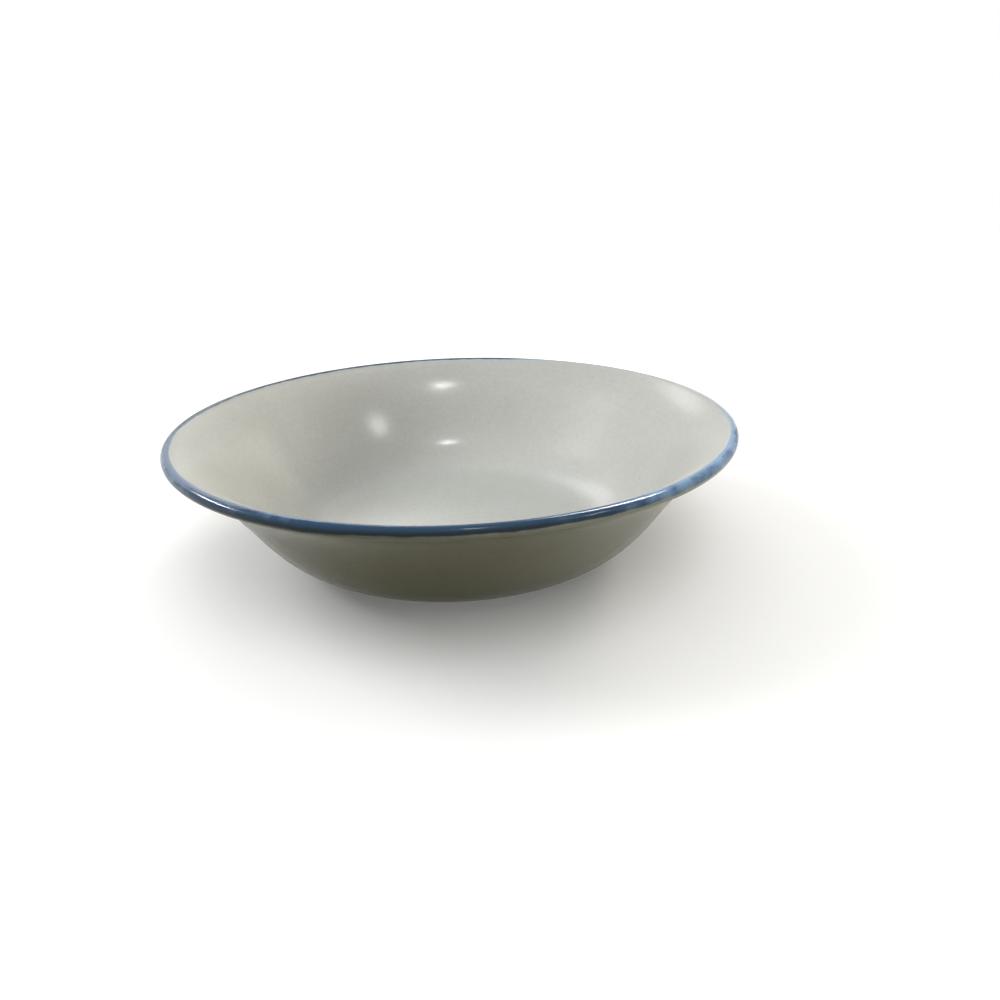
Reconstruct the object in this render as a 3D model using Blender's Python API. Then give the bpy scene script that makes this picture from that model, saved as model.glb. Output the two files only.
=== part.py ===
"""A wide, shallow serving bowl of glazed stoneware with an everted rim and a coloured lip band.

The wall is one turned section. Its outside line runs from the foot through a rounded knee and a
steep wall into a flare that opens to a half-round lip. Every layer of the bowl is a slice of that
section at its own depth into the wall: the fired clay in the middle, a glaze coat on each face and
the band over the lip. Each slice is turned about +Z and is an object of its own.

Metres, +Z up. The bowl stands on z = 0 with its axis on the origin.
"""

import math

import bmesh
import bpy
from mathutils import Vector

# Overall sizes
RIM_DIAMETER = 0.254
HEIGHT = 0.062
WALL_THICKNESS = 0.0048

# Foot ring and the shallow recess inside it
FOOT_DIAMETER = 0.120
FOOT_WIDTH = 0.0065
FOOT_HEIGHT = 0.0026
FOOT_EDGE_RADIUS = 0.0008
RECESS_DEPTH = 0.0020

# Outside line of the wall, each station measured from the one before it
KNEE_RUN = 0.0290
KNEE_RISE = 0.0120
WALL_RUN = 0.0116
WALL_RISE = 0.0160

# Slope of the outside line above level at the foot, knee top, wall and lip
FOOT_SLOPE = math.radians(2.0)
KNEE_SLOPE = math.radians(46.0)
WALL_SLOPE = math.radians(58.0)
LIP_SLOPE = math.radians(28.0)

# How far the middle of the floor lies below its edge over the foot
FLOOR_DISH = 0.0008

# Fired coats, and the joint left between bodies
GLAZE_THICKNESS = 0.0005
CLEARANCE = 0.0003

# The band's reach down the inside face, and its turn past the lip's tip onto the outer side
BAND_REACH = 0.0012
BAND_WRAP = math.radians(20.0)

# Facets round the axis and along each stretch of the section
TURN_STEPS = 48
FLOOR_STEPS = 3
KNEE_STEPS = 5
WALL_STEPS = 3
FLARE_STEPS = 5
LIP_STEPS = 10
EDGE_STEPS = 3
SHARP_ANGLE = math.radians(40.0)

# Points of the section closer than this are one point
MERGE_DISTANCE = 0.000001

# Depths into the wall, counted from its outside face
OUTER_COAT_BACK = GLAZE_THICKNESS
CLAY_OUTER = GLAZE_THICKNESS + CLEARANCE
CLAY_INNER = WALL_THICKNESS - GLAZE_THICKNESS - CLEARANCE
INNER_COAT_BACK = WALL_THICKNESS - GLAZE_THICKNESS
INNER_FACE = WALL_THICKNESS


def heading(slope):
    """Unit step along a line that climbs outwards at this slope, as (radius, height)."""
    return Vector((math.cos(slope), math.sin(slope)))


def into_wall(slope):
    """Unit step from the outside face into the wall."""
    return Vector((-math.sin(slope), math.cos(slope)))


def curve(start, start_slope, end, end_slope, steps):
    """Cubic between two stations, as (point, slope) pairs; its handles suit a circular arc."""
    quarter_turn = (end_slope - start_slope) / 4
    handle = (end - start).length / (3 * math.cos(quarter_turn) ** 2)
    start_handle = start + heading(start_slope) * handle
    end_handle = end - heading(end_slope) * handle
    line = []
    for step in range(steps + 1):
        t = step / steps
        s = 1 - t
        point = s**3 * start + 3 * s * s * t * start_handle + 3 * s * t * t * end_handle + t**3 * end
        along = s * s * (start_handle - start) + 2 * s * t * (end_handle - start_handle)
        along += t * t * (end - end_handle)
        line.append((point, math.atan2(along.y, along.x)))
    return line


def at_depth(line, depth):
    """The outside line moved this far into the wall."""
    return [point + into_wall(slope) * depth for point, slope in line]


def lip_round(centre, depth, first, last):
    """Arc over the lip at this depth; its angles count from the tip, up to the inside face."""
    radius = WALL_THICKNESS / 2 - depth
    steps = math.ceil(LIP_STEPS * (last - first) / math.pi)
    turn = (last - first) / steps
    return [
        centre + heading(LIP_SLOPE + first + turn * step) * radius
        for step in range(steps + 1)
    ]


def rounded_corner(corner, to_before, to_after, radius):
    """Quarter circle that takes the place of a square corner."""
    centre = corner + (to_before + to_after) * radius
    points = []
    for step in range(EDGE_STEPS + 1):
        angle = math.pi / 2 * step / EDGE_STEPS
        points.append(centre - (to_after * math.cos(angle) + to_before * math.sin(angle)) * radius)
    return points


def turned(name, section, material):
    """One closed body from a section turned about +Z; the section may touch the axis."""
    mesh = bpy.data.meshes.new(name)
    work = bmesh.new()
    verts = [work.verts.new((point.x, 0, point.y)) for point in section]
    edges = [work.edges.new(pair) for pair in zip(verts, verts[1:] + verts[:1])]
    bmesh.ops.spin(
        work,
        geom=verts + edges,
        cent=(0, 0, 0),
        axis=(0, 0, 1),
        angle=2 * math.pi,
        steps=TURN_STEPS,
        use_merge=True,
    )
    bmesh.ops.remove_doubles(work, verts=work.verts, dist=MERGE_DISTANCE)
    bmesh.ops.dissolve_degenerate(work, edges=work.edges, dist=MERGE_DISTANCE)
    loose = [edge for edge in work.edges if not edge.link_faces]
    bmesh.ops.delete(work, geom=loose, context="EDGES")
    bmesh.ops.recalc_face_normals(work, faces=work.faces)
    work.to_mesh(mesh)
    work.free()
    mesh.materials.append(material)
    mesh.shade_smooth()
    mesh.set_sharp_from_angle(angle=SHARP_ANGLE)
    body = bpy.data.objects.new(name, mesh)
    bpy.context.collection.objects.link(body)
    return body


def surface(name, colour, roughness):
    """Non-metal material with a plain colour."""
    material = bpy.data.materials.new(name)
    material.use_nodes = True
    shader = material.node_tree.nodes["Principled BSDF"]
    shader.inputs["Base Color"].default_value = (*colour, 1.0)
    shader.inputs["Roughness"].default_value = roughness
    shader.inputs["Metallic"].default_value = 0.0
    return material


for old in list(bpy.data.objects):
    bpy.data.objects.remove(old, do_unlink=True)

# Stations of the outside line
foot_radius = FOOT_DIAMETER / 2
foot_station = Vector((foot_radius + CLEARANCE, FOOT_HEIGHT))
knee_station = foot_station + Vector((KNEE_RUN, KNEE_RISE))
wall_station = knee_station + Vector((WALL_RUN, WALL_RISE))
lip_centre = Vector((RIM_DIAMETER / 2 - WALL_THICKNESS / 2, HEIGHT - WALL_THICKNESS / 2))
lip_station = lip_centre - into_wall(LIP_SLOPE) * (WALL_THICKNESS / 2)

# The band and the glaze leave half the clearance on each side of the line where they meet
flare_end = lip_station - heading(LIP_SLOPE) * (BAND_REACH + CLEARANCE / 2)
band_start = lip_station - heading(LIP_SLOPE) * (BAND_REACH - CLEARANCE / 2)
half_joint = CLEARANCE / WALL_THICKNESS
inside_face = math.pi / 2
outside_face = -math.pi / 2

# Outside line from the foot to the inside glaze's upper edge, and the band's own edge above it
knee_line = curve(foot_station, FOOT_SLOPE, knee_station, KNEE_SLOPE, KNEE_STEPS)
wall_line = curve(knee_station, KNEE_SLOPE, wall_station, WALL_SLOPE, WALL_STEPS)
flare_line = curve(wall_station, WALL_SLOPE, flare_end, LIP_SLOPE, FLARE_STEPS)
glazed_line = knee_line + wall_line[1:] + flare_line[1:]
band_edge = [(band_start, LIP_SLOPE)]

# Floor of the bowl, from the axis out to the inside face over the foot
floor_edge = at_depth(knee_line, INNER_FACE)[0]
floor_middle = Vector((0, floor_edge.y - FLOOR_DISH))
floor_line = curve(floor_middle, 0.0, floor_edge, FOOT_SLOPE, FLOOR_STEPS)[:-1]


def floor_below(depth):
    """The floor moved this far down into the base, with its middle kept on the axis."""
    points = at_depth(floor_line, -depth)
    points[0].x = 0
    return points


# Fired clay: floor, inside face, lip, outside face, bare foot ring and recess, back to the axis
recess_radius = foot_radius - FOOT_WIDTH
clay_inside = floor_below(CLAY_OUTER) + at_depth(glazed_line, CLAY_INNER)
clay_lip = lip_round(lip_centre, CLAY_OUTER, outside_face, inside_face)[::-1]
clay_outside = at_depth(glazed_line, CLAY_OUTER)[::-1]
foot_root = Vector((foot_radius, clay_outside[-1].y))
recess_ceiling = RECESS_DEPTH + GLAZE_THICKNESS + CLEARANCE
up = Vector((0, 1))
outward = Vector((1, 0))
inward = Vector((-1, 0))
foot_outer_edge = rounded_corner(Vector((foot_radius, 0)), up, inward, FOOT_EDGE_RADIUS)
foot_inner_edge = rounded_corner(Vector((recess_radius, 0)), outward, up, FOOT_EDGE_RADIUS)
recess_corner = Vector((recess_radius, recess_ceiling))
recess_middle = Vector((0, recess_ceiling))
clay_section = clay_inside + clay_lip + clay_outside + [foot_root]
clay_section += foot_outer_edge + foot_inner_edge + [recess_corner, recess_middle]
clay = surface("stoneware", (0.62, 0.55, 0.44), 0.85)
turned("clay_body", clay_section, clay)

# Glaze on the inside, from the middle of the floor up to the band
white = surface("white_glaze", (0.72, 0.72, 0.68), 0.12)
inner_face = floor_below(0) + at_depth(glazed_line, INNER_FACE)
inner_back = floor_below(GLAZE_THICKNESS) + at_depth(glazed_line, INNER_COAT_BACK)
turned("inside_glaze", inner_face + inner_back[::-1], white)

# Glaze on the outside, from the bare foot up the wall and round the lip to the band
glaze_stop = -BAND_WRAP - half_joint
outer_face = at_depth(glazed_line, 0)
outer_face += lip_round(lip_centre, 0, outside_face, glaze_stop)
outer_back = at_depth(glazed_line, OUTER_COAT_BACK)
outer_back += lip_round(lip_centre, OUTER_COAT_BACK, outside_face, glaze_stop)
turned("outside_glaze", outer_back + outer_face[::-1], white)

# Coloured band over the lip, from just past its tip to a little way down the inside face
band = surface("band_glaze", (0.10, 0.20, 0.33), 0.15)
band_stop = -BAND_WRAP + half_joint
band_face = lip_round(lip_centre, 0, band_stop, inside_face)
band_face += at_depth(band_edge, INNER_FACE)
band_back = lip_round(lip_centre, OUTER_COAT_BACK, band_stop, inside_face)
band_back += at_depth(band_edge, INNER_COAT_BACK)
turned("rim_band", band_face + band_back[::-1], band)

# Glazed disc in the recess, clear of the foot ring all round
disc_radius = recess_radius - CLEARANCE
recess_face = [Vector((0, RECESS_DEPTH)), Vector((disc_radius, RECESS_DEPTH))]
recess_back = [point + up * GLAZE_THICKNESS for point in recess_face]
turned("foot_recess_glaze", recess_face + recess_back[::-1], white)
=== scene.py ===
import math

import bpy
from mathutils import Matrix, Vector


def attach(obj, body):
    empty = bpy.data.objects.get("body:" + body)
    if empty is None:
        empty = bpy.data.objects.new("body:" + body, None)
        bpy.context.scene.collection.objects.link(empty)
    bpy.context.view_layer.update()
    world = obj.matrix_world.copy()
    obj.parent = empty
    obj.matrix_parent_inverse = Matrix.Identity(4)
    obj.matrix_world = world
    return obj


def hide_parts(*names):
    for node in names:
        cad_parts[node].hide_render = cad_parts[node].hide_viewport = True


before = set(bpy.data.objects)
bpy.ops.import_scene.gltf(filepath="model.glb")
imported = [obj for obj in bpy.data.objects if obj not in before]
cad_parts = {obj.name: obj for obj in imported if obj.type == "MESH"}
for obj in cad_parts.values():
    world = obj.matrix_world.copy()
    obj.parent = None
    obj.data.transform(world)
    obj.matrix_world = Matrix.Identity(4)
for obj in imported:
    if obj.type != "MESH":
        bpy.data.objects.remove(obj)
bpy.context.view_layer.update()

# Clay body. Floor, rounded knee, wall, everted rim and foot ring, pressed as one piece of buff
# stoneware. Glaze covers all of it but the standing edge of the foot, which is wiped bare before
# the kiln, so that the bowl doesn't stick to the shelf.
RIM_RADIUS = 0.1270
RIM_HEIGHT = 0.0620
WALL = 0.0048
COAT = 0.0008

FOOT_RADIUS = 0.0600
FOOT_WIDTH = 0.0065
FOOT_HEIGHT = 0.0026
FOOT_EDGE = 0.0010
FOOT_COAT = 0.0003
RECESS_DEPTH = 0.0020

KNEE_RUN = 0.0290
KNEE_RISE = 0.0120
WALL_RUN = 0.0116
WALL_RISE = 0.0160

FOOT_SLOPE = math.radians(2.0)
KNEE_SLOPE = math.radians(46.0)
WALL_SLOPE = math.radians(58.0)
LIP_SLOPE = math.radians(28.0)
FLOOR_DISH = 0.0008
BAND_REACH = 0.0012

# Where the lip's round meets the two faces of the wall, in degrees from its tip
INSIDE_FACE = 90
OUTSIDE_FACE = -90

TURN_STEPS = 192
FLOOR_STEPS = 8
KNEE_STEPS = 14
WALL_STEPS = 8
FLARE_STEPS = 18
CLAY_LIP_STEPS = 16
EDGE_STEPS = 6
MERGE_DISTANCE = 0.000001
SHARP_ANGLE = math.radians(40.0)

BUFF_DARK = (0.56, 0.47, 0.35)
BUFF_PALE = (0.66, 0.58, 0.46)
GRIT_PALE = (0.72, 0.66, 0.55)
IRON_BROWN = (0.20, 0.12, 0.07)
CLAY_ROUGHNESS = 0.78
CLAY_BUMP = 0.00006


def heading(slope):
    """Unit step along a line that climbs outwards at this slope, as (radius, height)."""
    return Vector((math.cos(slope), math.sin(slope)))


def into_wall(slope):
    """Unit step from the outside face into the wall."""
    return Vector((-math.sin(slope), math.cos(slope)))


def curve(start, start_slope, end, end_slope, steps):
    """Cubic between two stations, as (point, slope) pairs; its handles suit a circular arc."""
    quarter_turn = (end_slope - start_slope) / 4
    handle = (end - start).length / (3 * math.cos(quarter_turn) ** 2)
    start_handle = start + heading(start_slope) * handle
    end_handle = end - heading(end_slope) * handle
    line = []
    for step in range(steps + 1):
        t = step / steps
        s = 1 - t
        point = s**3 * start + 3 * s * s * t * start_handle + 3 * s * t * t * end_handle + t**3 * end
        along = s * s * (start_handle - start) + 2 * s * t * (end_handle - start_handle)
        along += t * t * (end - end_handle)
        line.append((point, math.atan2(along.y, along.x)))
    return line


def at_depth(line, depth):
    """The outside line moved this far into the wall."""
    return [point + into_wall(slope) * depth for point, slope in line]


def arc(centre, radius, first, last, steps):
    """Points on a circle from one angle to another, both in degrees."""
    angles = [math.radians(first + (last - first) * step / steps) for step in range(steps + 1)]
    return [centre + heading(angle) * radius for angle in angles]


def lip_round(depth, first, last, steps):
    """Arc over the lip at this depth; degrees count from the tip, up to the inside face."""
    slope = math.degrees(LIP_SLOPE)
    return arc(lip_centre, WALL / 2 - depth, slope + first, slope + last, steps)


def floor_below(depth):
    """The bowl's floor, from the axis outwards, moved this far down into the base."""
    points = at_depth(floor_line, -depth)
    points[0].x = 0
    return points


def turned(name, outline):
    """A closed body: a plane is merged to a point, drawn along the outline and spun once round."""
    bpy.ops.object.select_all(action="DESELECT")
    start = outline[0]
    bpy.ops.mesh.primitive_plane_add(size=WALL, location=(start.x, 0, start.y))
    bpy.ops.object.transform_apply(location=True, rotation=True, scale=True)
    piece = bpy.context.object
    piece.name = name
    piece.data.name = name
    bpy.ops.object.mode_set(mode="EDIT")
    bpy.ops.mesh.select_all(action="SELECT")
    bpy.ops.mesh.merge(type="CENTER")
    for before, after in zip(outline, outline[1:] + outline[:1]):
        step = after - before
        bpy.ops.mesh.extrude_region_move(TRANSFORM_OT_translate={"value": (step.x, 0, step.y)})
    bpy.ops.mesh.select_all(action="SELECT")
    bpy.ops.mesh.remove_doubles(threshold=MERGE_DISTANCE)
    bpy.ops.mesh.spin(steps=TURN_STEPS, angle=2 * math.pi, center=(0, 0, 0), axis=(0, 0, 1))
    bpy.ops.mesh.select_all(action="SELECT")
    bpy.ops.mesh.remove_doubles(threshold=MERGE_DISTANCE)
    bpy.ops.mesh.dissolve_degenerate(threshold=MERGE_DISTANCE)
    bpy.ops.mesh.select_all(action="SELECT")
    bpy.ops.mesh.delete_loose(use_verts=True, use_edges=True, use_faces=False)
    bpy.ops.mesh.select_all(action="SELECT")
    bpy.ops.mesh.normals_make_consistent(inside=False)
    bpy.ops.object.mode_set(mode="OBJECT")
    bpy.ops.object.shade_smooth_by_angle(angle=SHARP_ANGLE)
    return piece


foot_station = Vector((FOOT_RADIUS + FOOT_COAT, FOOT_HEIGHT))
knee_station = foot_station + Vector((KNEE_RUN, KNEE_RISE))
wall_station = knee_station + Vector((WALL_RUN, WALL_RISE))
lip_centre = Vector((RIM_RADIUS - WALL / 2, RIM_HEIGHT - WALL / 2))
lip_station = lip_centre - into_wall(LIP_SLOPE) * (WALL / 2)
band_station = lip_station - heading(LIP_SLOPE) * BAND_REACH

knee_line = curve(foot_station, FOOT_SLOPE, knee_station, KNEE_SLOPE, KNEE_STEPS)
wall_line = curve(knee_station, KNEE_SLOPE, wall_station, WALL_SLOPE, WALL_STEPS)
flare_line = curve(wall_station, WALL_SLOPE, band_station, LIP_SLOPE, FLARE_STEPS)
glazed_line = knee_line + wall_line[1:] + flare_line[1:]

floor_edge = at_depth(knee_line, WALL)[0]
floor_middle = Vector((0, floor_edge.y - FLOOR_DISH))
floor_line = curve(floor_middle, 0.0, floor_edge, FOOT_SLOPE, FLOOR_STEPS)[:-1]

recess_radius = FOOT_RADIUS - FOOT_WIDTH
recess_ceiling = RECESS_DEPTH + COAT
clay_inside = floor_below(COAT) + at_depth(glazed_line, WALL - COAT)
clay_lip = lip_round(COAT, OUTSIDE_FACE, INSIDE_FACE, CLAY_LIP_STEPS)[::-1]
clay_outside = at_depth(glazed_line, COAT)[::-1]
foot_root = [Vector((FOOT_RADIUS, clay_outside[-1].y))]
outer_edge_centre = Vector((FOOT_RADIUS - FOOT_EDGE, FOOT_EDGE))
inner_edge_centre = Vector((recess_radius + FOOT_EDGE, FOOT_EDGE))
foot_outer_edge = arc(outer_edge_centre, FOOT_EDGE, 0, -90, EDGE_STEPS)
foot_inner_edge = arc(inner_edge_centre, FOOT_EDGE, -90, -180, EDGE_STEPS)
recess_back = [Vector((recess_radius, recess_ceiling)), Vector((0, recess_ceiling))]
clay_outline = clay_inside + clay_lip + clay_outside
clay_outline += foot_root + foot_outer_edge + foot_inner_edge + recess_back
clay_body = turned("stoneware_body", clay_outline)


class Tone:
    """A value that varies over a finish. Arithmetic on it adds Math nodes, node() any other."""

    # Places of a Mix node's share, its two colours and the mixed colour among its sockets
    SHARE = 0
    FIRST = 6
    SECOND = 7
    MIXED = 2

    def __init__(self, tree, socket=None):
        self.tree = tree
        self.socket = socket

    def node(self, kind, settings=None, sockets=None, output=0):
        """Adds a node; its settings come first, then a value or a link for each socket."""
        made = self.tree.nodes.new(kind)
        for setting, value in (settings or {}).items():
            setattr(made, setting, value)
        for key, value in (sockets or {}).items():
            if isinstance(value, Tone):
                self.tree.links.new(value.socket, made.inputs[key])
            else:
                made.inputs[key].default_value = value
        return Tone(self.tree, made.outputs[output])

    def maths(self, operation, first, second=0.0):
        return self.node("ShaderNodeMath", {"operation": operation}, {0: first, 1: second})

    def __add__(self, other):
        return self.maths("ADD", self, other)

    def __radd__(self, other):
        return self.maths("ADD", other, self)

    def __sub__(self, other):
        return self.maths("SUBTRACT", self, other)

    def __rsub__(self, other):
        return self.maths("SUBTRACT", other, self)

    def __mul__(self, other):
        return self.maths("MULTIPLY", self, other)

    def __rmul__(self, other):
        return self.maths("MULTIPLY", other, self)

    def __truediv__(self, other):
        return self.maths("DIVIDE", self, other)

    def __rtruediv__(self, other):
        return self.maths("DIVIDE", other, self)

    def rise(self, low, high):
        """0 below low, 1 above high and a smooth climb between; low may be the larger one."""
        limits = {"Value": self, "From Min": low, "From Max": high}
        return self.node("ShaderNodeMapRange", {"interpolation_type": "SMOOTHSTEP"}, limits)

    def between(self, first, second):
        """The first colour where this value is 0 and the second where it is 1."""
        first = first if isinstance(first, Tone) else (*first, 1.0)
        second = second if isinstance(second, Tone) else (*second, 1.0)
        sockets = {self.SHARE: self, self.FIRST: first, self.SECOND: second}
        return self.node("ShaderNodeMix", {"data_type": "RGBA"}, sockets, self.MIXED)

    def tinted(self, tint):
        """This colour multiplied by another one."""
        settings = {"data_type": "RGBA", "blend_type": "MULTIPLY"}
        sockets = {self.SHARE: 1.0, self.FIRST: self, self.SECOND: (*tint, 1.0)}
        return self.node("ShaderNodeMix", settings, sockets, self.MIXED)

    def grain(self, scale, detail=2.0, roughness=0.5):
        """Cloudy noise over this position, about 0.5 on average."""
        sockets = {"Vector": self, "Scale": scale, "Detail": detail, "Roughness": roughness}
        return self.node("ShaderNodeTexNoise", {"noise_dimensions": "3D"}, sockets)

    def specks(self, scale, size, share):
        """Round spots of this size, in cells, in about this share of the cells."""
        cells = {"Vector": self, "Scale": scale}
        distance = self.node("ShaderNodeTexVoronoi", {}, cells)
        lot = self.node("ShaderNodeTexVoronoi", {}, cells, "Color")
        chosen = lot.node("ShaderNodeSeparateColor", {}, {"Color": lot})
        core = size * 0.5
        strong = share * 0.7
        return distance.rise(size, core) * chosen.rise(1 - share, 1 - strong)

    def bump(self, distance):
        """Surface normal over this height, which is given in parts of a distance in metres."""
        sockets = {"Strength": 1.0, "Distance": distance, "Height": self}
        return self.node("ShaderNodeBump", {}, sockets)

    def feed(self, socket):
        self.tree.links.new(self.socket, socket)


def finish(name):
    """A new finish: its material, its shader's sockets and the position on the piece."""
    material = bpy.data.materials.new(name)
    material.use_nodes = True
    sockets = material.node_tree.nodes["Principled BSDF"].inputs
    place = Tone(material.node_tree).node("ShaderNodeTexCoord", output="Object")
    return material, sockets, place


bare_clay, clay_sockets, place = finish("bare_stoneware")
clay_cloud = place.grain(scale=90.0, detail=4.0)
clay_grit = place.grain(scale=2600.0, detail=2.0)
clay_iron = place.specks(scale=900.0, size=0.30, share=0.14)
clay_colour = clay_cloud.rise(0.3, 0.7).between(BUFF_DARK, BUFF_PALE)
clay_colour = (clay_grit.rise(0.45, 0.75) * 0.35).between(clay_colour, GRIT_PALE)
clay_colour = (clay_iron * 0.7).between(clay_colour, IRON_BROWN)
clay_colour.feed(clay_sockets["Base Color"])
(CLAY_ROUGHNESS + clay_grit * 0.16).feed(clay_sockets["Roughness"])
(clay_grit + clay_cloud * 0.5).bump(CLAY_BUMP).feed(clay_sockets["Normal"])
clay_body.data.materials.append(bare_clay)
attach(clay_body, "root")
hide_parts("clay_body")

# Outside glaze. A glossy off-white coat that runs from the lip down the wall and over the outer
# side of the foot. It is poured on and fires thinner than the inside, and it ends in a soft bead
# where the foot is wiped. Towards the foot its colour is painted darker: partly glaze that pools
# there, partly painted shade near the floor.
FOOT_FILLET = 0.0008
BEAD_HEIGHT = 0.0012
BEAD_STEPS = 5
BAND_WRAP = 20.0
OUTSIDE_LIP_STEPS = 14

OUTSIDE_WHITE = (0.57, 0.572, 0.520)
# Outside colour low down: pooled glaze, and painted shade near the floor
OUTSIDE_FOOT_POOL_AND_SHADE = (0.43, 0.427, 0.36)
GLAZE_SHADE = (0.87, 0.87, 0.855)
GLAZE_IRON = (0.16, 0.13, 0.10)
GLAZE_PIT = (0.22, 0.21, 0.18)
GLAZE_ROUGHNESS = 0.15
GLAZE_BUMP = 0.00022

# Blue of the lip where it bled, where the brush left it thin or thick, and along its edges. The grey
# and near black under its lower edge are painted shade under the lip, the grey partly a real bleed;
# the slate on the left and the dark at the back left are partly painted shade.
HAZE_BLUE = (0.50, 0.61, 0.68)
HAZE_SLATE_AND_SHADE = (0.43, 0.48, 0.51)
BLEED_AND_SHADE_GREY = (0.17, 0.20, 0.21)
THIN_BLUE = (0.24, 0.41, 0.64)
THIN_SLATE_AND_SHADE = (0.175, 0.25, 0.375)
THICK_BLUE = (0.018, 0.064, 0.138)
THICK_BRIGHT = (0.04, 0.12, 0.31)
UNDER_LIP_SHADE = (0.012, 0.022, 0.028)
BACK_LEFT_DARK_AND_SHADE = (0.030, 0.038, 0.046)

# The blue's two edges, from the middle of the lip's round, and how far each of them wanders
INNER_EDGE = 0.0004
INNER_WANDER = 0.0014
LOWER_EDGE = 0.0011
LOWER_WANDER = 0.0010

NOISE_MIDDLE = 0.5


def lip_place(place):
    """Place on the lip: unit direction round the bowl, reach outwards, depth towards the inside."""
    parts = {}
    for axis in "XYZ":
        parts[axis] = place.node("ShaderNodeSeparateXYZ", {}, {"Vector": place}, axis)
    squared = parts["X"] * parts["X"] + parts["Y"] * parts["Y"]
    radius = squared.maths("SQRT", squared)
    out = radius - lip_centre.x
    up = parts["Z"] - lip_centre.y
    reach = out * math.cos(LIP_SLOPE) + up * math.sin(LIP_SLOPE)
    depth = up * math.cos(LIP_SLOPE) - out * math.sin(LIP_SLOPE)
    return parts["X"] / radius, parts["Y"] / radius, reach, depth


def brushed(lip, turns, strokes):
    """Noise drawn out round the rim, as a brush on a turning bowl leaves it, with no seam."""
    east, north, reach, depth = lip
    round_rim = {"X": east * turns, "Y": north * turns, "Z": reach * strokes}
    path = east.node("ShaderNodeCombineXYZ", {}, round_rim)
    sockets = {"Vector": path, "W": depth * strokes, "Scale": 1.0, "Detail": 3.0, "Roughness": 0.6}
    return path.node("ShaderNodeTexNoise", {"noise_dimensions": "4D"}, sockets)


def white_coat(place, lip, body_colour, pool_and_shade_colour, pool_and_shade_low, pool_and_shade_high):
    """Colour of the white, and the cloud and the mottle in it; low down it turns to its second colour,
    as pooled glaze and, on the outside, also as painted shade near the floor.
    """
    cloud = place.grain(scale=28.0, detail=5.0, roughness=0.6)
    mottle = place.grain(scale=420.0, detail=5.0, roughness=0.68)
    rings = brushed(lip, turns=2.0, strokes=700.0)
    height = place.node("ShaderNodeSeparateXYZ", {}, {"Vector": place}, "Z")
    # Low down the white turns to its second colour: pooled glaze, and on the outside partly painted
    # shade near the floor
    pool_and_shade = height.rise(pool_and_shade_high, pool_and_shade_low)
    colour = pool_and_shade.between(body_colour, pool_and_shade_colour)

    # Darker in the clouds, in the mottle and along faint turning rings, then iron specks and pits
    shade = cloud.rise(0.35, 0.7) * 0.3 + mottle.rise(0.3, 0.7) * 0.5 + rings.rise(0.35, 0.7) * 0.15
    colour = shade.between(colour, colour.tinted(GLAZE_SHADE))
    iron = place.specks(scale=210.0, size=0.075, share=0.05)
    colour = (iron * 0.75).between(colour, GLAZE_IRON)
    pits = place.specks(scale=330.0, size=0.14, share=0.16)
    colour = (pits * 0.55).between(colour, GLAZE_PIT)
    return colour, cloud, mottle


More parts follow.
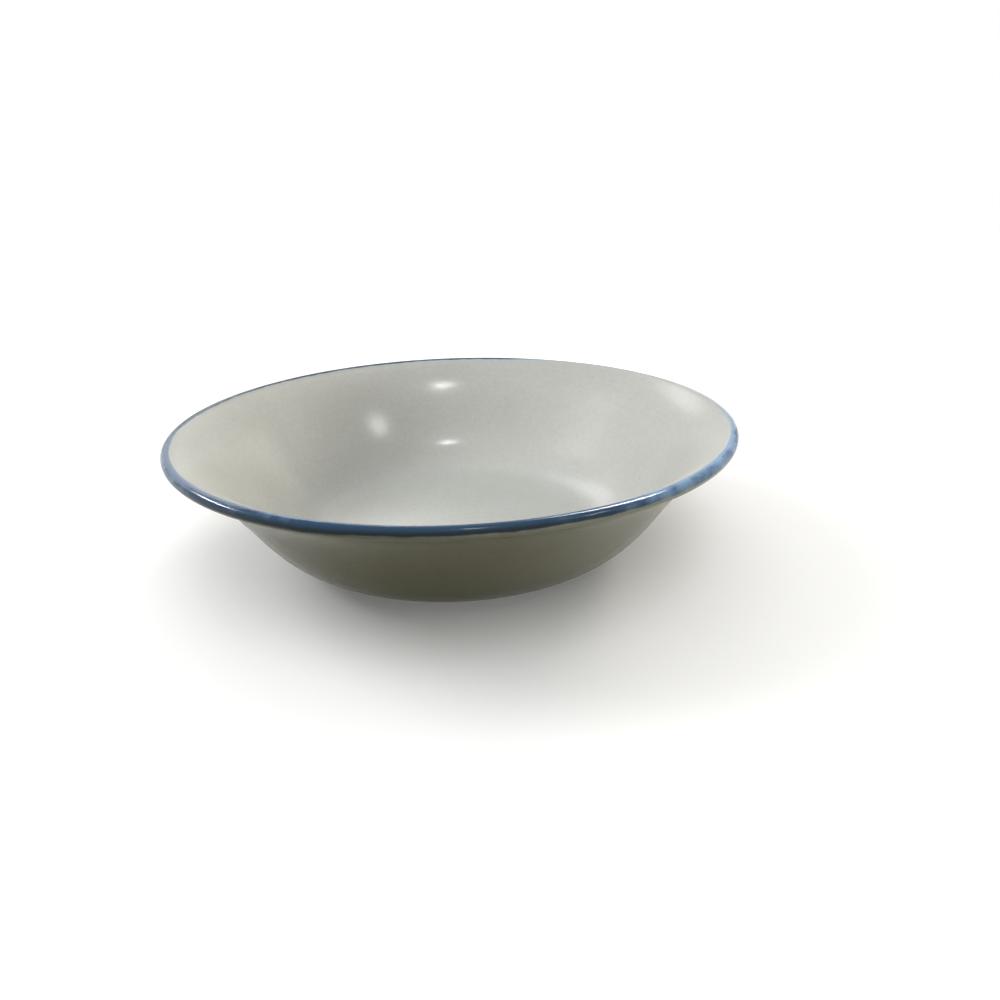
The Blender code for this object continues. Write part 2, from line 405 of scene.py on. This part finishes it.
def lip_blue(white, lip):
    """The white with the blue of the lip on it, and how far the blue covers it."""
    east, north, reach, depth = lip
    edge = brushed(lip, turns=14.0, strokes=150.0) - NOISE_MIDDLE
    stroke = brushed(lip, turns=7.0, strokes=900.0) - NOISE_MIDDLE
    patch = brushed(lip, turns=3.5, strokes=100.0) - NOISE_MIDDLE

    # Stretches of the rim where the brush left more or less than on the rest, and where painted shade
    # and a painted highlight go
    front = (north * 0.97 + east * 0.22).rise(-0.65, -1.0)
    left = east.rise(-0.5, -0.95)
    left_front = (north + east).rise(-1.13, -1.37)
    right = east.rise(0.2, 0.9)
    right_front = (east * 0.5 - north * 0.87).rise(0.93, 1.0)
    far_right = east.rise(0.75, 0.98)
    back_left = (north * 1.1 - east * 0.7).rise(0.5, 0.95)
    back_right_glint = (north * 0.7 + east * 1.2).rise(0.95, 1.25)
    slate_and_shade = east.rise(-0.1, -0.6)

    # Load of the brush: full at the front and the back left, dry and patchiest on the right; the extra
    # load on the left and at the back left is partly painted shade
    load = 0.26 + front * 0.85 + left * 0.45 - right * 0.30 + back_left * 0.85
    load = load + patch * (0.8 + right * 0.9)

    # Metres past the blue's inner edge and above its lower edge; each stretch moves them a little. At
    # the back right and the far right the inner edge is drawn back, a painted highlight
    past_inner = reach + INNER_EDGE - north * 0.0005 + back_left * 0.0008 - back_right_glint * 0.0006
    past_inner = past_inner - left * 0.0005 - far_right * 0.0010 + edge * INNER_WANDER
    above_lower = depth + LOWER_EDGE + left * 0.0004 + left_front * 0.0007 + edge * LOWER_WANDER
    within = past_inner.maths("MINIMUM", past_inner, above_lower)

    # A soft haze that bled into the white on the inside, and under the lower edge a grey that is
    # partly the blue's bleed and partly painted shade under the lip
    haze = past_inner.rise(-0.0030, 0.0002) * depth.rise(0.0, 0.0016) * (0.20 + load * 0.45)
    # On the left the haze turns slate, partly painted shade
    colour = haze.between(white, slate_and_shade.between(HAZE_BLUE, HAZE_SLATE_AND_SHADE))
    bleed_and_shade = above_lower.rise(-0.0013, 0.0002) * reach.rise(-0.0004, 0.0006) * (0.15 + load * 0.40)
    colour = bleed_and_shade.between(colour, BLEED_AND_SHADE_GREY)

    # The band: pale where it is thin, deep where it is thick, and darkest low down and at the back
    # left, where the dark is painted shade under the lip and partly painted shade at the back left; at
    # the back right it fades out, a painted highlight
    # At the back right the blue fades out, a painted highlight
    cover = within.rise(-0.0003, 0.0004) * (0.96 - back_right_glint * 0.6)
    thin = past_inner.rise(0.0028, 0.0004) * 0.7
    thin = thin + past_inner.rise(0.0034, 0.0010) * left_front * 1.6
    thin = thin - past_inner.rise(0.0024, 0.0010) * right_front * 0.6
    outer = past_inner.rise(0.0008, 0.0020) * far_right * 0.85
    thick = load + stroke * 0.9 + edge * (1.8 + right * 1.8) - thin + outer
    # On the left the pale blue turns slate, partly painted shade
    pale = slate_and_shade.between(THIN_BLUE, THIN_SLATE_AND_SHADE)
    deep = right.between(THICK_BLUE, THICK_BRIGHT)
    band = thick.rise(-0.35, 0.9).between(pale, deep)
    # Near black along the loaded lower edge: painted shade under the lip
    under_lip_shade = above_lower.rise(0.0022, 0.0006) * load.rise(0.3, 1.0)
    band = (under_lip_shade * 0.80).between(band, UNDER_LIP_SHADE)
    # At the back left the band is darkened, partly painted shade
    band = (back_left * 0.65).between(band, BACK_LEFT_DARK_AND_SHADE)
    return cover.between(colour, band), cover


def glaze(name, body_colour, pool_and_shade_colour, pool_and_shade_low, pool_and_shade_high, gloss):
    """Glossy white coat with the blue of the lip melted into it."""
    material, sockets, place = finish(name)
    lip = lip_place(place)
    white, cloud, mottle = white_coat(place, lip, body_colour, pool_and_shade_colour, pool_and_shade_low, pool_and_shade_high)
    colour, cover = lip_blue(white, lip)
    colour.feed(sockets["Base Color"])

    # Gloss, broken a little by the cloud and mottle, over a slow ripple, fine dimples and pinholes
    roughness = GLAZE_ROUGHNESS + cloud * 0.06 + mottle * 0.04 - cover * 0.06
    roughness.feed(sockets["Roughness"])
    sockets["Specular IOR Level"].default_value = gloss
    ripple = place.grain(scale=38.0, detail=1.0)
    dimple = place.grain(scale=650.0, detail=1.0)
    pinhole = place.specks(scale=170.0, size=0.05, share=0.06)
    (ripple + dimple * 0.05 - pinhole * 0.12).bump(GLAZE_BUMP).feed(sockets["Normal"])
    return material


fillet_centre = Vector((foot_station.x + FOOT_FILLET, foot_station.y - FOOT_FILLET))
outside_line = [(point, slope) for point, slope in glazed_line if point.x > fillet_centre.x]
foot_fillet = arc(fillet_centre, FOOT_FILLET, 90, 180, EDGE_STEPS)
bead_centre = Vector((FOOT_RADIUS, BEAD_HEIGHT + FOOT_COAT))
foot_bead = arc(bead_centre, FOOT_COAT, 0, -90, BEAD_STEPS)
outside_outline = lip_round(0, -BAND_WRAP, OUTSIDE_FACE, OUTSIDE_LIP_STEPS)
outside_outline += at_depth(outside_line, 0)[::-1] + foot_fillet + foot_bead + foot_root
outside_outline += at_depth(glazed_line, COAT)
outside_outline += lip_round(COAT, OUTSIDE_FACE, -BAND_WRAP, OUTSIDE_LIP_STEPS // 2)
outside_coat = turned("outside_coat", outside_outline)
outside_glaze = glaze(
    "outside_glaze_finish",
    body_colour=OUTSIDE_WHITE,
    pool_and_shade_colour=OUTSIDE_FOOT_POOL_AND_SHADE,
    pool_and_shade_low=0.010,
    pool_and_shade_high=0.045,
    gloss=0.16,
)
outside_coat.data.materials.append(outside_glaze)
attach(outside_coat, "root")
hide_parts("outside_glaze")

# Inside glaze. The same off-white coat over the floor and the inside of the wall, up to the band.
# It is thicker than outside, and while it melts it runs down and pools on the floor, where it is
# cooler and a little greener.
INSIDE_WHITE = (0.617, 0.621, 0.592)
INSIDE_POOL = (0.595, 0.607, 0.585)

inside_outline = floor_below(0) + at_depth(glazed_line, WALL)
inside_outline += at_depth(glazed_line, WALL - COAT)[::-1] + floor_below(COAT)[::-1]
inside_coat = turned("inside_coat", inside_outline)
inside_glaze = glaze(
    "inside_glaze_finish",
    body_colour=INSIDE_WHITE,
    pool_and_shade_colour=INSIDE_POOL,
    pool_and_shade_low=0.006,
    pool_and_shade_high=0.026,
    gloss=0.28,
)
inside_coat.data.materials.append(inside_glaze)
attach(inside_coat, "root")
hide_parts("inside_glaze")

# Recess glaze. The same coat on the shallow disc inside the foot ring. It turns down into a small
# fillet against the ring's inner side and stops short of the standing edge.
RECESS_FILLET = 0.0007
RECESS_WHITE = (0.60, 0.585, 0.545)
RECESS_POOL = (0.58, 0.575, 0.545)

recess_centre = Vector((recess_radius - RECESS_FILLET, RECESS_DEPTH - RECESS_FILLET))
recess_edge = arc(recess_centre, RECESS_FILLET, 90, 0, EDGE_STEPS)
recess_outline = [Vector((0, RECESS_DEPTH))] + recess_edge + recess_back
recess_coat = turned("recess_coat", recess_outline)
recess_glaze = glaze(
    "recess_glaze_finish",
    body_colour=RECESS_WHITE,
    pool_and_shade_colour=RECESS_POOL,
    pool_and_shade_low=0.0015,
    pool_and_shade_high=0.0025,
    gloss=0.35,
)
recess_coat.data.materials.append(recess_glaze)
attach(recess_coat, "root")
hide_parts("foot_recess_glaze")

# Lip band. Blue stain brushed round the lip while the bowl turns, melted into the glaze. It is
# thin and pale where the brush was dry, deep where it was loaded, and its edges bleed. Its colour
# also carries painted shade under the lip, partly painted shade on the left and at the back left,
# and a painted highlight where it fades at the back right.
BAND_STEPS = 22

band_edge = [(band_station, LIP_SLOPE)]
band_face = lip_round(0, -BAND_WRAP, INSIDE_FACE, BAND_STEPS)
band_face += at_depth(band_edge, WALL)
band_back = lip_round(COAT, -BAND_WRAP, INSIDE_FACE, BAND_STEPS // 2)
band_back += at_depth(band_edge, WALL - COAT)
lip_band = turned("lip_band", band_face + band_back[::-1])
band_glaze = glaze(
    "band_glaze_finish",
    body_colour=INSIDE_WHITE,
    pool_and_shade_colour=OUTSIDE_WHITE,
    pool_and_shade_low=0.0575,
    pool_and_shade_high=0.0605,
    gloss=0.16,
)
lip_band.data.materials.append(band_glaze)
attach(lip_band, "root")
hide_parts("rim_band")

# Floor. A plain white sweep that the bowl stands on. To the camera and in reflections it is white,
# and to the light that it throws back on the bowl it is a dull warm grey. Under the bowl its glow
# is turned down, a painted shadow.
FLOOR_SIZE = 8.0
FLOOR_WHITE = (0.65, 0.65, 0.65)
FLOOR_BOUNCE = (0.13, 0.125, 0.06)

# Its glow under the bowl, turned down there as a painted shadow, near it and far off, and the
# distances over which one becomes the next
PAINTED_SHADOW_GLOW = (0.14, 0.14, 0.14)
GLOW_NEAR = (0.56, 0.56, 0.56)
GLOW_FAR = (0.96, 0.96, 0.96)
SHADOW_TO_NEAR = (0.07, 0.18)
NEAR_TO_FAR = (0.25, 1.6)


def seen(tone):
    """1 for rays that show the background: from the camera, off gloss and through glass."""
    shown = tone.node("ShaderNodeLightPath", output="Is Camera Ray")
    for kind in ("Is Glossy Ray", "Is Transmission Ray"):
        shown = tone.maths("MAXIMUM", shown, tone.node("ShaderNodeLightPath", output=kind))
    return shown


bpy.ops.object.select_all(action="DESELECT")
bpy.ops.mesh.primitive_plane_add(size=FLOOR_SIZE, location=(0, 0, 0))
floor = bpy.context.object
floor.name = "studio_floor"
floor_paint, floor_sockets, place = finish("white_sweep")
shown = seen(place)
shown.between(FLOOR_BOUNCE, FLOOR_WHITE).feed(floor_sockets["Base Color"])
far = place.node("ShaderNodeVectorMath", {"operation": "LENGTH"}, {0: place}, "Value")
# Painted shadow: the glow is turned down under the bowl
glow = far.rise(*SHADOW_TO_NEAR).between(PAINTED_SHADOW_GLOW, GLOW_NEAR)
glow = far.rise(*NEAR_TO_FAR).between(glow, GLOW_FAR)
shown.between((0.0, 0.0, 0.0), glow).feed(floor_sockets["Emission Color"])
floor_sockets["Emission Strength"].default_value = 1.0
floor_sockets["Roughness"].default_value = 1.0
floor_sockets["Specular IOR Level"].default_value = 0.0
floor.data.materials.append(floor_paint)

# Light. Soft boxes on the left, high in front, low on the right, and a smaller one low behind on the
# right; the last two are warm. A bare lamp, a side lamp, a tall lamp behind and two strips that light
# the lip alone only draw highlights on the gloss.
LAMP_DISTANCE = 1.8
LAMP_CORE = 0.15
LAMP_RIM = 0.5
WARM = (1.0, 0.95, 0.84)
PALE_WARM = (1.0, 0.98, 0.88)
AMBIENT = (0.062, 0.062, 0.047)
BACKGROUND = (1.0, 1.0, 1.0)


def lamp(name, azimuth, elevation, width, height, radiance, distance=LAMP_DISTANCE):
    """Area lamp aimed at the bowl, faded to its rim; azimuth runs from behind towards the right."""
    turn = math.radians(azimuth)
    lift = math.radians(elevation)
    spot = Vector((math.sin(turn) * math.cos(lift), math.cos(turn) * math.cos(lift), math.sin(lift)))
    bpy.ops.object.light_add(type="AREA", location=spot * distance)
    made = bpy.context.object
    made.name = name
    made.rotation_euler = spot.to_track_quat("Z", "Y").to_euler()
    made.data.shape = "RECTANGLE"
    made.data.size = width
    made.data.size_y = height
    made.data.energy = radiance * math.pi * width * height
    made.data.use_nodes = True
    across = Tone(made.data.node_tree).node("ShaderNodeNewGeometry", output="Parametric")
    middle = {0: across, 1: (0.5, 0.5, 0.0)}
    off_middle = across.node("ShaderNodeVectorMath", {"operation": "DISTANCE"}, middle, "Value")
    strength = made.data.node_tree.nodes["Emission"].inputs["Strength"]
    off_middle.rise(LAMP_RIM, LAMP_CORE).feed(strength)
    return made


left_box = lamp("left_box", azimuth=-76.0, elevation=39.5, width=1.2, height=1.2, radiance=14.0)
high_box = lamp("high_box", azimuth=165.0, elevation=58.0, width=1.8, height=1.8, radiance=3.6)
low_box = lamp("low_box", azimuth=40.0, elevation=19.0, width=0.8, height=0.8, radiance=25.0)
right_box = lamp("right_box", azimuth=100.0, elevation=5.0, width=1.4, height=1.0, radiance=6.4)
for box in (left_box, high_box, low_box, right_box):
    box.visible_glossy = False
low_box.data.color = WARM
right_box.data.color = PALE_WARM

bare_lamp = lamp(
    "bare_lamp", azimuth=169.0, elevation=71.0, width=0.09, height=0.08, radiance=400.0, distance=1.4)
side_lamp = lamp("side_lamp", azimuth=121.0, elevation=43.0, width=0.30, height=0.14, radiance=105.0)
tall_lamp = lamp("tall_lamp", azimuth=-10.0, elevation=34.5, width=0.80, height=0.85, radiance=3.2)
left_strip = lamp("left_strip", azimuth=-73.0, elevation=31.0, width=1.1, height=0.13, radiance=125.0)
right_strip = lamp("right_strip", azimuth=40.0, elevation=50.0, width=1.4, height=0.22, radiance=120.0)
for small in (bare_lamp, side_lamp, tall_lamp, left_strip, right_strip):
    small.visible_diffuse = False

lip_only = bpy.data.collections.new("lip_only")
lip_only.objects.link(lip_band)
for strip in (left_strip, right_strip):
    strip.light_linking.receiver_collection = lip_only

studio = bpy.data.worlds.new("studio")
bpy.context.scene.world = studio
studio.use_nodes = True
shown = seen(Tone(studio.node_tree))
shown.between(AMBIENT, BACKGROUND).feed(studio.node_tree.nodes["Background"].inputs["Color"])

# Camera. Low in front of the bowl and close to it, looking down over the near lip. A fairly wide
# lens, turned and rolled a little, as for a view held by hand.
CAMERA_PLACE = (0.0, -0.31080, 0.15023)
CAMERA_LENS = 24.48
CAMERA_SENSOR = 36.0
CAMERA_PITCH = math.radians(23.334)
CAMERA_YAW = math.radians(3.736)
CAMERA_ROLL = math.radians(-1.186)

bpy.ops.object.camera_add(location=CAMERA_PLACE)
camera = bpy.context.object
aim = Matrix.Rotation(-CAMERA_YAW, 3, "Z") @ Matrix.Rotation(math.pi / 2 - CAMERA_PITCH, 3, "X")
camera.rotation_euler = (aim @ Matrix.Rotation(CAMERA_ROLL, 3, "Z")).to_euler()
camera.data.lens = CAMERA_LENS
camera.data.sensor_width = CAMERA_SENSOR
bpy.context.scene.camera = camera
bpy.context.scene.view_settings.view_transform = "Standard"
